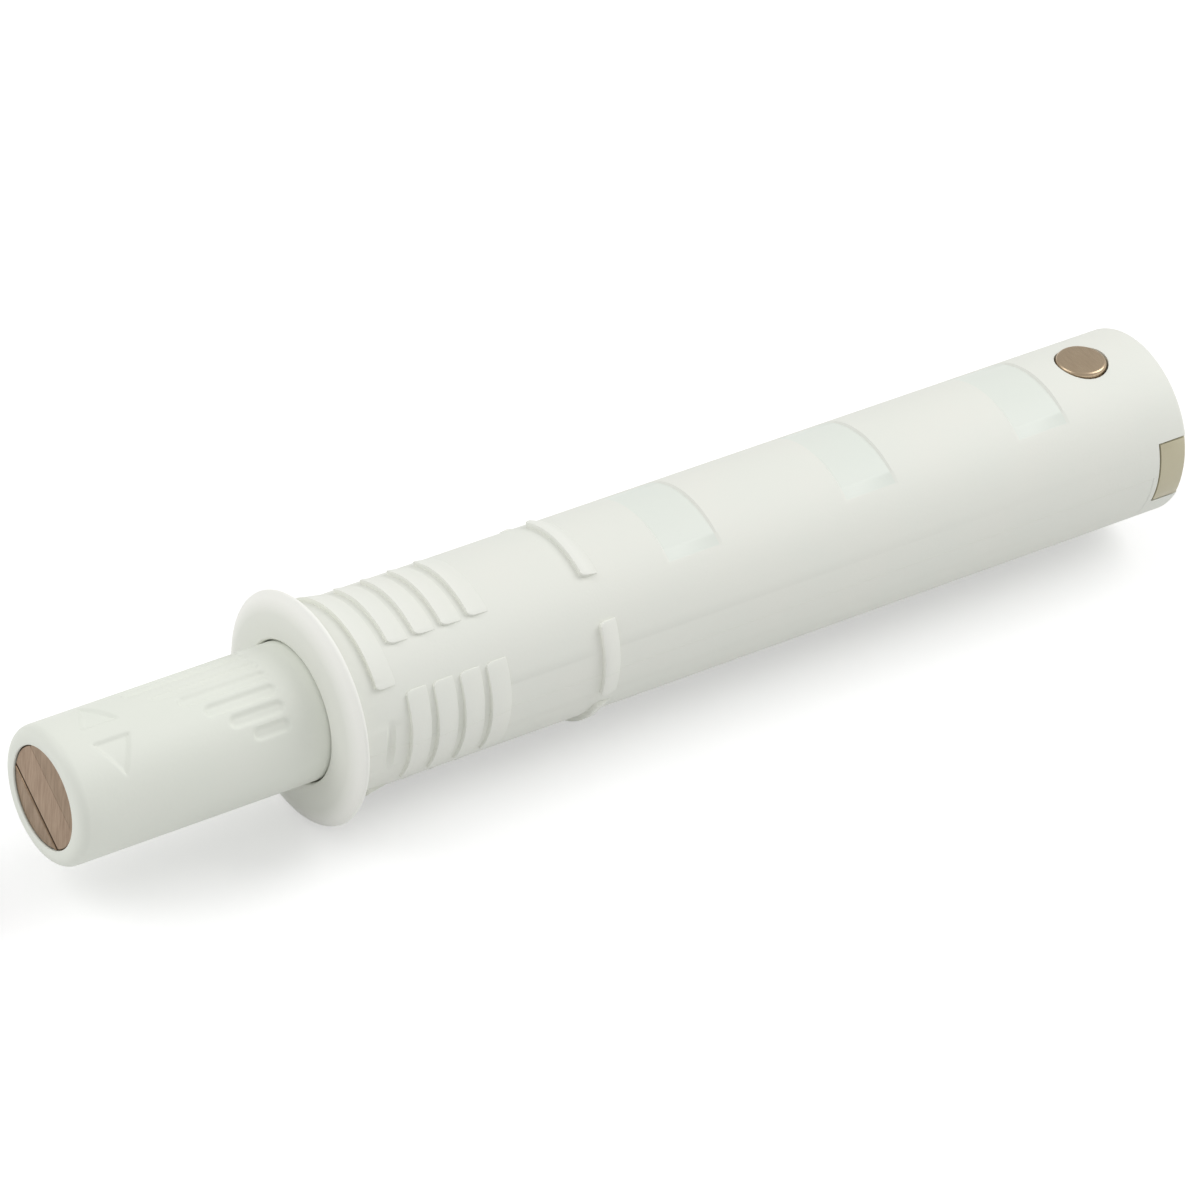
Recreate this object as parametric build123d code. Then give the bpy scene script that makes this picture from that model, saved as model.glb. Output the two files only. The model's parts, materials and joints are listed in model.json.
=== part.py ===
from build123d import *
import os
from math import pi, radians, sin

# Drill-in push-to-open catch: a round plastic housing that is pressed into a drilled
# hole, and a sprung plunger with a magnetic tip. A first push latches the plunger in,
# and a second push lets it spring out and open the door.
#
# All sizes are in millimetres. X runs along the catch and points into the drilled
# hole, +Z is the side with the head of the pivot pin. The origin is the centre of the
# flange's seating face. The plunger is drawn sprung out.
# Angles around the catch are in degrees, from +Z towards -Y.

# Housing
body_d = 9.6                # plain body, in a hole of 10
body_length = 50.05         # seating face to rear end
rear_edge_round = 0.25
bore_mouth_chamfer = 0.2

# Flange
flange_overhang = 1.1       # beyond the body, all round
flange_t = 0.72
flange_rim_edge = 0.2       # chamfer on the seating side
flange_flat_inset = 0.3     # flat ring in front ends this far inside the body's surface
seat_relief_w = 0.4         # hollow next to the body, so that the barbs clear the seating face
seat_relief_depth = 0.15

# Barbs that grip the wood
barb_height = 0.26
barb_length = 1.16
barb_first_x = 1.48
barb_pitch = 1.53
barb_tail_height = 0.04
barb_count = 5
barb_half_angle = 30.0
collar_barb_half_angle = 52.5
side_barb_half_angle = 32.0
side_barb_tail_height = 0.15
barb_corner = 0.3           # cut off each end of the square face

# Rear ring of barbs, in four pieces
ring_x = 14.17
ring_length = 0.95
ring_crest = 0.35           # flat top in front of the ramp, which grips the hole's wall
ring_side_angles = (57.5, 105.5)
ring_bottom_half_angle = 64.0

# Shallow panels along the top
panel_first_x = 18.98
panel_last_from_rear = 9.9  # start of the last panel, from the plug's rear end
panel_count = 3
panel_length = 3.2
panel_half_angle = 39.0
panel_depth = 0.12
panel_wall_slope = 0.1

# Gate mark on each side, behind the flange
gate_x = 1.95
gate_length = 0.4
gate_depth = 0.12
gate_half_angle = 16.0

# Keyed part of the bore, where two rails stop the carriage from turning
key_start_x = 20.0
key_end_gap = 0.1           # left in front of the plug
rail_z = 1.5                # underside of the rails
lever_room_w = 4.6          # width left between the rails

# Rear plug and its two tabs
plug_length = 6.1
plug_proud = 0.2            # behind the housing's end
tab_half_angle = 20.5
tab_length = 1.75
tab_gap = 0.08
tab_edge = 0.28
plug_fit = 0.05
lever_slot_side_room = 0.6

# Pivot pin
pin_from_rear = 3.8         # from the plug's rear end
pin_d = 1.5
pin_head_d = 2.75
pin_head_t = 0.7
pin_head_proud = 0.07
pin_head_chamfer = 0.22
pin_tip_z = -0.3
pin_fit = 0.03
pin_head_fit = 0.12

# Adjustable tip
tip_d = 7.0
tip_face_x = -14.47
tip_rear_x = 6.0
tip_edge_round = 0.65
tip_fit = 0.15              # all round in the bore
tip_thread_fit = 0.1        # over the stem

# Magnet and pole plates, in a pocket in the tip
magnet_d = 5.3
magnet_length = 3.0
magnet_setback = 0.1
magnet_fit = 0.05
magnet_block_w = 2.06
plate_gap = 0.05
magnet_angle = 122.5        # direction of the pole plates' edges
magnet_edge_chamfer = 0.12

# Carrier behind the magnet, square so that it can't turn in the stem
carrier_d = 5.8
carrier_t = 0.9
carrier_key_w = 2.2
carrier_key_length = 12.0
carrier_fit = 0.05
carrier_seat = 0.02

# Grip grooves and turning arrows on the tip
groove_count = 7
groove_first_angle = 55.4
groove_angle_step = 14.9
groove_rear_x = -2.66
groove_first_length = 1.98
groove_length_step = 0.965
groove_w = 0.56
groove_depth = 0.13
arrow_base_x = -11.62       # middle of each base
arrow_base_w = 1.96
arrow_height = 1.9
arrow_depth = 0.12
arrow_middle_angle = 11.7
arrow_gap_half_angle = 8.5

# Carriage
stem_d = 4.6
stem_front_x = -8.25
socket_depth = 12.0
head_front_x = 6.5
head_rear_x = 13.0
carriage_rear_gap = 0.2      # left in front of the plug at full push
carriage_fit = 0.15         # all round in the bore
spring_channel_w = 3.4
track_floor_z = 0.6

# Heart-shaped track, as the follower sees it
stroke = 13.2               # full push, past the latching point
latched_at = 12.1
track_w = 1.1
track_swing = 1.1           # sideways, at full push

# Latch lever
lever_tip_inset = 2.0       # from the carriage's rear end, sprung out
lever_w = 1.1
lever_t = 0.8
lever_lift = 0.15           # above the carriage
lever_hub_d = 3.0
follower_d = 0.8
follower_floor_gap = 0.1

# Main spring
spring_z = -1.6
spring_d = 3.0
spring_wire_d = 0.5
spring_turns = 6
spring_spigot_d = 1.9
spring_spigot_length = 1.8

# Worked out from the sizes above
body_r = body_d / 2
barb_r = body_r + barb_height
tip_r = tip_d / 2
bore_r = tip_r + tip_fit
magnet_r = magnet_d / 2
tip_thread_d = stem_d + 2 * tip_thread_fit
plug_rear_x = body_length + plug_proud
plug_front_x = plug_rear_x - plug_length
pin_x = plug_rear_x - pin_from_rear
key_end_x = plug_front_x - key_end_gap
panel_pitch = (plug_rear_x - panel_last_from_rear - panel_first_x) / (panel_count - 1)
carriage_rear_x = plug_front_x - carriage_rear_gap - stroke
lever_tip_x = carriage_rear_x - lever_tip_inset
carriage_r = bore_r - carriage_fit
carriage_top_z = rail_z - 0.1
magnet_front_x = tip_face_x + magnet_setback
magnet_rear_x = magnet_front_x + magnet_length
carrier_front_x = magnet_rear_x + carrier_seat
carrier_rear_x = carrier_front_x + carrier_t
lever_z = carriage_top_z + lever_lift
pin_head_z = body_r + pin_head_proud
lever_length = pin_x - lever_tip_x
overlap = 0.3               # how far a joined or cutting shape reaches past a surface


def turned(points, start=0.0, end=360.0):
    """Turn an outline of (x, radius) points about X, from one angle to the other."""
    face = make_face(Polyline(*[(x, 0, r) for x, r in points], close=True))
    return Rot(start, 0, 0) * revolve(face, Axis.X, end - start)


def tube_along_x(diameter, x0, x1, y=0.0, z=0.0):
    """A round bar between two places along X."""
    return Pos(x0, y, z) * extrude(Plane.YZ * Circle(diameter / 2), x1 - x0)


def block(x0, x1, y0, y1, z0, z1):
    """A block between two corners."""
    return Pos(x0, y0, z0) * Box(x1 - x0, y1 - y0, z1 - z0, align=(Align.MIN,) * 3)


def keyed_bar(radius, flat_z, key_w, x0, x1):
    """A round bar with a flat top, and a key of width key_w left standing on it."""
    below = Pos(0, flat_z - 2 * radius) * Rectangle(4 * radius, 4 * radius)
    section = Circle(radius) & (below + Rectangle(key_w, 4 * radius))
    return Pos(x0, 0, 0) * extrude(Plane.YZ * section, x1 - x0)


def barb(x, length, tail_height, start, end, crest=0.0):
    """One gripping barb: a square face towards the flange, a flat crest if any, and a ramp."""
    root_r = body_r - overlap
    top = [(x, barb_r), (x + crest, barb_r)] if crest else [(x, barb_r)]
    ridge = turned([(x, root_r), *top, (x + length, body_r + tail_height), (x + length, root_r)],
                   start, end)
    front = ridge.edges().group_by(Axis.X)[0]
    return chamfer(front.filter_by(GeomType.LINE), barb_corner)


def rounded(start, end, bulge):
    """A rounded edge between two (x, radius) points, drawn as two straight cuts.

    bulge is how far its middle stands out from the straight line between them.
    """
    (x0, r0), (x1, r1) = start, end
    run = Vector(x1 - x0, r1 - r0).length
    return [start, ((x0 + x1) / 2 - (r1 - r0) / run * bulge, (r0 + r1) / 2 + (x1 - x0) / run * bulge), end]


def flange_and_body():
    """The turned outside of the housing."""
    rim_r = body_r + flange_overhang
    edge = rear_edge_round
    outline = [(-flange_t, 0)]
    outline += rounded((-flange_t, body_r - flange_flat_inset), (-flange_rim_edge, rim_r), 0.2)
    outline += [(0, rim_r - flange_rim_edge), (0, body_r + seat_relief_w),
                (-seat_relief_depth, body_r)]
    outline += rounded((body_length - edge, body_r), (body_length, body_r - edge), 0.2 * edge)
    outline += [(body_length, 0)]
    return turned(outline)


def make_housing():
    """Round body with its flange, barbs, panels, keyed bore and rear notches."""
    body = flange_and_body()
    # Barbs: a long one next to the flange, then a row on each of the four sides.
    for turn in (0.0, 180.0):
        for i in range(barb_count):
            half = collar_barb_half_angle if i == 0 else barb_half_angle
            body += barb(barb_first_x + i * barb_pitch, barb_length, barb_tail_height,
                         turn - half, turn + half)
        half = ring_bottom_half_angle if turn else barb_half_angle
        body += barb(ring_x, ring_length, barb_tail_height, turn - half, turn + half, ring_crest)
    for side in (90.0, -90.0):
        for i in range(1, barb_count):
            body += barb(barb_first_x + i * barb_pitch, barb_length, side_barb_tail_height,
                         side - side_barb_half_angle, side + side_barb_half_angle)
    low, high = ring_side_angles
    for start, end in ((low, high), (-high, -low)):
        body += barb(ring_x, ring_length, side_barb_tail_height, start, end, ring_crest)
    # Shallow panels along the top, with sloping end walls.
    floor_r = body_r - panel_depth
    rise = panel_wall_slope * (panel_depth + overlap) / panel_depth
    for i in range(panel_count):
        x0 = panel_first_x + i * panel_pitch + panel_wall_slope
        x1 = panel_first_x + i * panel_pitch + panel_length - panel_wall_slope
        top_r = body_r + overlap
        body -= turned([(x0, floor_r), (x0 - rise, top_r), (x1 + rise, top_r), (x1, floor_r)],
                       -panel_half_angle, panel_half_angle)
    for side in (90.0, -90.0):
        body -= turned([(gate_x, body_r - gate_depth), (gate_x - gate_length / 2, body_r + overlap),
                        (gate_x + gate_length / 2, body_r + overlap)],
                       side - gate_half_angle, side + gate_half_angle)
    # Bore: round for the tip, keyed for the carriage, round again for the plug.
    mouth_x = -flange_t - overlap
    mouth_r = bore_r + bore_mouth_chamfer + overlap
    bore = turned([(mouth_x, 0), (mouth_x, mouth_r), (-flange_t + bore_mouth_chamfer, bore_r),
                   (key_start_x, bore_r), (key_start_x, 0)])
    bore += keyed_bar(bore_r, rail_z, lever_room_w, key_start_x, key_end_x)
    bore += tube_along_x(2 * bore_r, key_end_x, body_length + overlap)
    body -= bore
    # Notches for the plug's tabs, and the stepped hole for the pivot pin.
    notch_half = body_r * sin(radians(tab_half_angle)) + tab_gap
    notch_x = plug_rear_x - tab_length - tab_gap
    body -= block(notch_x, body_length + overlap, -body_d, body_d, -notch_half, notch_half)
    head_seat_z = pin_head_z - pin_head_t
    body -= Pos(pin_x, 0, head_seat_z) * Cylinder(pin_head_d / 2 + pin_head_fit, body_r,
                                                  align=(Align.CENTER, Align.CENTER, Align.MIN))
    body -= Pos(pin_x, 0, 0) * Cylinder(pin_d / 2 + pin_fit, body_r,
                                        align=(Align.CENTER, Align.CENTER, Align.MIN))
    return body


def make_rear_plug():
    """Plug that closes the bore, holds the pivot pin and backs the spring."""
    plug = tube_along_x(2 * (bore_r - plug_fit), plug_front_x, plug_rear_x)
    tab_x = plug_rear_x - tab_length
    tab_half = body_r * sin(radians(tab_half_angle))
    disc = turned([(tab_x, 0), (tab_x, body_r), (plug_rear_x - tab_edge, body_r),
                   (plug_rear_x, body_r - tab_edge), (plug_rear_x, 0)])
    plug += disc & block(tab_x, plug_rear_x, -body_d, body_d, -tab_half, tab_half)
    # Slot for the lever's eye, open to the front.
    slot_rear_x = pin_x + lever_hub_d / 2 + overlap
    slot_half = lever_hub_d / 2 + lever_slot_side_room
    plug -= block(plug_front_x - overlap, slot_rear_x, -slot_half, slot_half,
                  lever_z - lever_lift, lever_z + lever_t + lever_lift)
    plug += tube_along_x(spring_spigot_d, plug_front_x - spring_spigot_length, plug_front_x + overlap,
                         z=spring_z)
    hole_bottom = pin_tip_z - pin_fit
    plug -= Pos(pin_x, 0, hole_bottom) * Cylinder(pin_d / 2 + pin_fit, body_d,
                                                  align=(Align.CENTER, Align.CENTER, Align.MIN))
    return plug


def make_pivot_pin():
    """Headed steel pin that locks the plug in and carries the lever."""
    shank = Pos(pin_x, 0, pin_tip_z) * Cylinder(pin_d / 2, pin_head_z - pin_tip_z,
                                                align=(Align.CENTER, Align.CENTER, Align.MIN))
    head = Pos(pin_x, 0, pin_head_z - pin_head_t) * Cylinder(
        pin_head_d / 2, pin_head_t, align=(Align.CENTER, Align.CENTER, Align.MIN))
    pin = shank + head
    top_edge = pin.edges().filter_by(GeomType.CIRCLE).sort_by(Axis.Z)[-1]
    return chamfer(top_edge, pin_head_chamfer)


def groove_tool(i):
    """Cutter for one grip groove: a slot with round ends, with its floor round the tip's axis."""
    length = groove_first_length + i * groove_length_step
    slot = SlotOverall(length, groove_w)
    tool = extrude(Pos(groove_rear_x - length / 2, 0, tip_r / 2) * slot, tip_r)
    tool -= tube_along_x(tip_d - 2 * groove_depth, groove_rear_x - 2 * length, groove_rear_x + length)
    return Rot(groove_first_angle - i * groove_angle_step, 0, 0) * tool


def arrow_tool(direction):
    """Cutter for one turning arrow, which points round the tip."""
    half = arrow_base_w / 2
    mid_angle = arrow_gap_half_angle + 0.5 * arrow_height / tip_r * 180 / pi
    triangle = make_face(Polyline((-half, arrow_height / 2), (half, arrow_height / 2),
                                  (0, -arrow_height / 2), close=True))
    tool = extrude(Pos(0, 0, tip_r / 2) * triangle, tip_r)
    if direction < 0:
        tool = Rot(0, 0, 180) * tool
    tool = Pos(arrow_base_x, 0, 0) * tool
    tool -= tube_along_x(tip_d - 2 * arrow_depth, arrow_base_x - tip_r, arrow_base_x + tip_r)
    return Rot(arrow_middle_angle + direction * mid_angle, 0, 0) * tool


def make_tip_sleeve():
    """Tip that is turned by hand: it screws along the stem and sets the gap."""
    edge = tip_edge_round
    outline = [(tip_face_x, 0)]
    outline += rounded((tip_face_x, tip_r - edge), (tip_face_x + edge, tip_r), 0.2 * edge)
    outline += [(tip_rear_x, tip_r), (tip_rear_x, 0)]
    tip = turned(outline)
    tip -= tube_along_x(tip_thread_d, tip_face_x - overlap, tip_rear_x + overlap)
    tip -= tube_along_x(magnet_d + 2 * magnet_fit, tip_face_x - overlap, carrier_front_x)
    tip -= tube_along_x(carrier_d + 2 * carrier_fit, carrier_front_x - carrier_fit,
                        carrier_rear_x + carrier_fit)
    for i in range(groove_count):
        tip -= groove_tool(i)
    for direction in (1, -1):
        tip -= arrow_tool(direction)
    return tip


def magnet_slice(w0, w1):
    """The part of the round magnet pack between two planes, turned to its angle."""
    disc = tube_along_x(magnet_d, magnet_front_x, magnet_rear_x)
    front = disc.edges().filter_by(GeomType.CIRCLE).sort_by(Axis.X)[0]
    disc = chamfer(front, magnet_edge_chamfer)
    piece = disc & block(magnet_front_x, magnet_rear_x, w0, w1, -magnet_d, magnet_d)
    return Rot(magnet_angle, 0, 0) * piece


def make_magnet_carrier():
    """Disc that carries the magnet pack, with a square key that slides in the stem."""
    carrier = tube_along_x(carrier_d, carrier_front_x, carrier_rear_x)
    half = carrier_key_w / 2
    return carrier + block(carrier_rear_x, carrier_rear_x + carrier_key_length, -half, half, -half, half)


def track_point(pushed, side):
    """Where the follower stands on the carriage after a push, in one of the lanes."""
    return Vector(lever_tip_x - pushed, side * track_swing * pushed / stroke, 0)


def lane(start, end):
    """One straight lane of the track, cut from the floor upwards."""
    run = end - start
    slot = SlotCenterToCenter(run.length, track_w)
    middle = (start + end) / 2
    turn = Vector(1, 0, 0).get_signed_angle(run, Vector(0, 0, 1))
    placed = Pos(middle.X, middle.Y, track_floor_z) * Rot(0, 0, turn) * slot
    return extrude(placed, rail_z - track_floor_z + overlap)


def make_carriage():
    """Sprung carriage: a threaded stem, a keyed head and a tail with the heart track."""
    key_w = lever_room_w - 2 * carriage_fit
    carriage = keyed_bar(carriage_r, carriage_top_z, key_w, head_front_x, head_rear_x)
    tail = keyed_bar(carriage_r, carriage_top_z, key_w, head_rear_x, carriage_rear_x)
    tail &= block(head_rear_x, carriage_rear_x, -bore_r, bore_r, -bore_r, carriage_top_z)
    half = spring_channel_w / 2
    tail -= block(head_rear_x, carriage_rear_x, -half, half, -2 * bore_r, spring_z + half)
    carriage += tail
    carriage += tube_along_x(stem_d, stem_front_x, head_front_x + overlap)
    carriage += tube_along_x(spring_spigot_d, head_rear_x - overlap, head_rear_x + spring_spigot_length,
                             z=spring_z)
    key_half = carrier_key_w / 2 + carrier_fit
    carriage -= block(stem_front_x - overlap, stem_front_x + socket_depth, -key_half, key_half,
                      -key_half, key_half)
    start = track_point(0, 0)
    notch = Vector(lever_tip_x - latched_at, 0, 0)
    for side in (1, -1):
        carriage -= lane(start, track_point(stroke, side))
        carriage -= lane(track_point(stroke, side), notch)
    return carriage


def make_latch_lever():
    """Steel lever that swings on the pivot pin, with the follower at its free end."""
    eye = Pos(pin_x, 0, lever_z) * Cylinder(lever_hub_d / 2, lever_t,
                                            align=(Align.CENTER, Align.CENTER, Align.MIN))
    arm = SlotCenterToCenter(lever_length, lever_w)
    lever = eye + extrude(Pos((pin_x + lever_tip_x) / 2, 0, lever_z) * arm, lever_t)
    foot_z = track_floor_z + follower_floor_gap
    lever += Pos(lever_tip_x, 0, foot_z) * Cylinder(follower_d / 2, lever_z + lever_t - foot_z,
                                                    align=(Align.CENTER, Align.CENTER, Align.MIN))
    lever -= Pos(pin_x, 0, 0) * Cylinder(pin_d / 2 + pin_fit, body_d)
    return lever


def make_main_spring():
    """Compression spring between the carriage's head and the plug."""
    coil_r = (spring_d - spring_wire_d) / 2
    x0 = head_rear_x + spring_wire_d / 2
    x1 = plug_front_x - spring_wire_d / 2
    height = x1 - x0
    helix = Edge.make_helix(height / spring_turns, height, coil_r,
                            center=(x0, 0, spring_z), normal=(1, 0, 0))
    section = Plane(origin=helix @ 0, z_dir=helix % 0) * RegularPolygon(spring_wire_d / 2, 6)
    return sweep(section, path=helix, is_frenet=True)


def make_parts():
    """All sub-parts by name."""
    half_block = magnet_block_w / 2
    plate_start = half_block + plate_gap
    return {
        "housing": make_housing(),
        "rear_plug": make_rear_plug(),
        "pivot_pin": make_pivot_pin(),
        "main_spring": make_main_spring(),
        "carriage": make_carriage(),
        "latch_lever": make_latch_lever(),
        "tip_sleeve": make_tip_sleeve(),
        "magnet_carrier": make_magnet_carrier(),
        "magnet_block": magnet_slice(-half_block, half_block),
        "pole_plate_front": magnet_slice(-magnet_r, -plate_start),
        "pole_plate_back": magnet_slice(plate_start, magnet_r),
    }


os.makedirs("parts", exist_ok=True)
for name, shape in make_parts().items():
    export_step(shape, f"parts/{name}.step")
    box = shape.bounding_box()
    print(f"{name}: {len(shape.solids())} solid, volume {shape.volume:.2f} mm3, "
          f"x {box.min.X:.2f} to {box.max.X:.2f}")
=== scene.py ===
# %% [markdown]
# # A push-to-open catch
#
# The catch is pressed into a drilled hole at the front of a cabinet. Its white housing has
# rows of barbs that bite into the wood, and the tip that sticks out carries a magnet. The CAD
# model already holds every piece at its true size, so this lesson adds what moulding and
# plating give the real thing: soft edges, fine grain, seams and sheen.
#
# Everything is in metres. X runs along the catch into the hole, and Z points up.

# %% Load the CAD frame
import json
from math import atan2, cos, degrees, hypot, inf, pi, radians, sin
import bmesh
import bpy
from mathutils import Matrix, Vector

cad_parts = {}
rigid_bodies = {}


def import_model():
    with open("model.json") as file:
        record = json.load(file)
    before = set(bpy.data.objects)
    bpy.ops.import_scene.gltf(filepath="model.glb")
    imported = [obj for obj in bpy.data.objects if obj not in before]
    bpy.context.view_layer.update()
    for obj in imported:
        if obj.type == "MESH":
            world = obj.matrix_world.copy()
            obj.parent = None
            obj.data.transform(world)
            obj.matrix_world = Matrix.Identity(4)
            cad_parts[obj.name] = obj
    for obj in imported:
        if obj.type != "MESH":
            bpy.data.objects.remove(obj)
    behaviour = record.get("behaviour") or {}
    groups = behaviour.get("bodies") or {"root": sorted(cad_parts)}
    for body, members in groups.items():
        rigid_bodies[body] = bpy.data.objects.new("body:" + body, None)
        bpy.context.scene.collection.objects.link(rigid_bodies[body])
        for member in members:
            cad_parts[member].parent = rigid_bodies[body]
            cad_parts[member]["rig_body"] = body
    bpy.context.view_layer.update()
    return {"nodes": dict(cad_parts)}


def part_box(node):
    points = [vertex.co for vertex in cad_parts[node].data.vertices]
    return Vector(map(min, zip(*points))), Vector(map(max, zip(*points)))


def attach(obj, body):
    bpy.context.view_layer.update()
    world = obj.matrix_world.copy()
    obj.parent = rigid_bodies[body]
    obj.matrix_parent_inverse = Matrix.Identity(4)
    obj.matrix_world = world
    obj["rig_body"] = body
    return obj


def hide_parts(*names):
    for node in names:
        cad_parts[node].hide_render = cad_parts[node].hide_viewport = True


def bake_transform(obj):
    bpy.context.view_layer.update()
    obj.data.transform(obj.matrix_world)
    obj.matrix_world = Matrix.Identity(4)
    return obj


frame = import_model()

mm = 0.001
print("CAD nodes:", ", ".join(sorted(frame["nodes"])))

# %% [markdown]
# ## Read the sizes from the frame
#
# A new piece has to fit the piece that it stands for, so its main sizes come from the boxes
# of the CAD nodes. A small function gives one side of such a box in millimetres.

# %% Main sizes
def side(node, axis, end):
    """One side of a CAD node's box in millimetres, at end 0 (low) or 1 (high) of an axis."""
    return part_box(node)[end]["xyz".index(axis)] / mm

flange_front = side("housing", "x", 0)
body_end = side("housing", "x", 1)
flange_r = side("housing", "z", 1)
tip_front, tip_back = side("tip_sleeve", "x", 0), side("tip_sleeve", "x", 1)
tip_r = side("tip_sleeve", "z", 1)
body_r = side("rear_plug", "y", 1)
plug_fit = 0.05  # all round, between the plug and the bore
bore_r = side("rear_plug", "z", 1) + plug_fit
pin_top, pin_foot = side("pivot_pin", "z", 1), side("pivot_pin", "z", 0)
pin_x = (side("pivot_pin", "x", 0) + side("pivot_pin", "x", 1)) / 2
print(f"body {2 * body_r:.2f} mm across and {body_end:.2f} mm long, "
      f"flange {2 * flange_r:.2f} mm across")

# %% [markdown]
# ## Point the camera
#
# A long lens from about 38 cm away keeps the tube's sides nearly parallel, as in a catalogue
# picture. The camera stands to the left of the tip, looks down at 36 degrees and is rolled a
# little, so the catch rises from lower left to upper right. Its axes are worked out from the
# two angles.

# %% Camera
def add_camera(azimuth, elevation, roll, distance, target, lens):
    az, el = radians(azimuth), radians(elevation)
    back = Vector((sin(az) * cos(el), -cos(az) * cos(el), sin(el)))
    right = Vector((0, 0, 1)).cross(back).normalized()
    turn = Matrix((right, back.cross(right), back)).transposed().to_4x4()
    camera = bpy.data.objects.new("camera", bpy.data.cameras.new("camera"))
    bpy.context.collection.objects.link(camera)
    camera.matrix_world = (Matrix.Translation(target + back * distance) @ turn
                           @ Matrix.Rotation(radians(roll), 4, "Z"))
    camera.data.lens = lens
    camera.data.clip_start = 0.01
    bpy.context.scene.camera = camera
    return camera

camera = add_camera(azimuth=-38.208, elevation=36.208, roll=5.656, distance=0.37955,
                    target=Vector((0.017425, 0.0001, 0.0001)), lens=233.69)
bpy.context.scene.view_settings.view_transform = "Standard"
print("camera at", [round(c, 3) for c in camera.location])

# %% [markdown]
# ## Nodes and colours
#
# A material is a small graph of nodes. Colours are written as sRGB hex values, as a paint
# chart gives them, and one function turns them into the linear numbers that light is
# reckoned with. Another adds a node with its settings and links, so that each material below
# reads as a list of what it is made of.

# %% Node and colour helpers
def linear(hex_colour):
    """An sRGB hex colour as linear red, green, blue and alpha."""
    parts = [int(hex_colour[i:i + 2], 16) / 255 for i in (1, 3, 5)]
    return [c / 12.92 if c <= 0.04045 else ((c + 0.055) / 1.055) ** 2.4 for c in parts] + [1.0]

def add(material, kind, settings=None, **inputs):
    """Add a node. Names in settings are its properties, and each input is a value or a socket."""
    tree = material.node_tree
    node = tree.nodes.new("ShaderNode" + kind)
    for name, value in (settings or {}).items():
        setattr(node, name, value)
    for name, value in inputs.items():
        key = int(name[1:]) if name[0] == "i" and name[1:].isdigit() else name.replace("_", " ")
        if isinstance(value, bpy.types.NodeSocket):
            tree.links.new(value, node.inputs[key])
        else:
            node.inputs[key].default_value = value
    return node

def start_material(name):
    """An empty material with its output node."""
    material = bpy.data.materials.new(name)
    material.use_nodes = True
    material.node_tree.nodes.clear()
    return material, add(material, "OutputMaterial")

# %% [markdown]
# ## Moulded nylon
#
# The housing and the tip are white polyamide 66, injection moulded. The steel mould was spark
# eroded, so the housing has a grain of about a tenth of a millimetre that scatters light and
# leaves only a broad, soft sheen. The IOR of nylon is 1.53. The grain is drawn a little
# coarser than it is, so that it shows at all. Slow flow in the mould also gives slight clouds
# in the colour, a few millimetres across. The tip and the housing's panels come from smoother
# parts of the moulds, so their roughness is lower.
#
# Nylon lets some light through its thin flange. That glow is painted into the colour, which gets
# paler towards the flange's edge.
# Two marks come from the mould itself: a fine seam on each side, where its halves met, and a
# line under the rear end, where an insert met the lower half.

# %% White nylon
cloud_mm = 4
# Painted glow: between these radii the flange's colour is lifted towards white, in place of light
# shining through the thin nylon.
glow_paint_from, glow_paint_to = 4.9, 5.6  # the flange gets paler between these radii
seam_half_w, seam_height = 0.06, 0.03
side_seam = 0.35  # the side seams stand out to this share of the height
seam_start_x = 0.2  # behind the flange
insert_line_x = 48.05  # under the rear end

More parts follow.
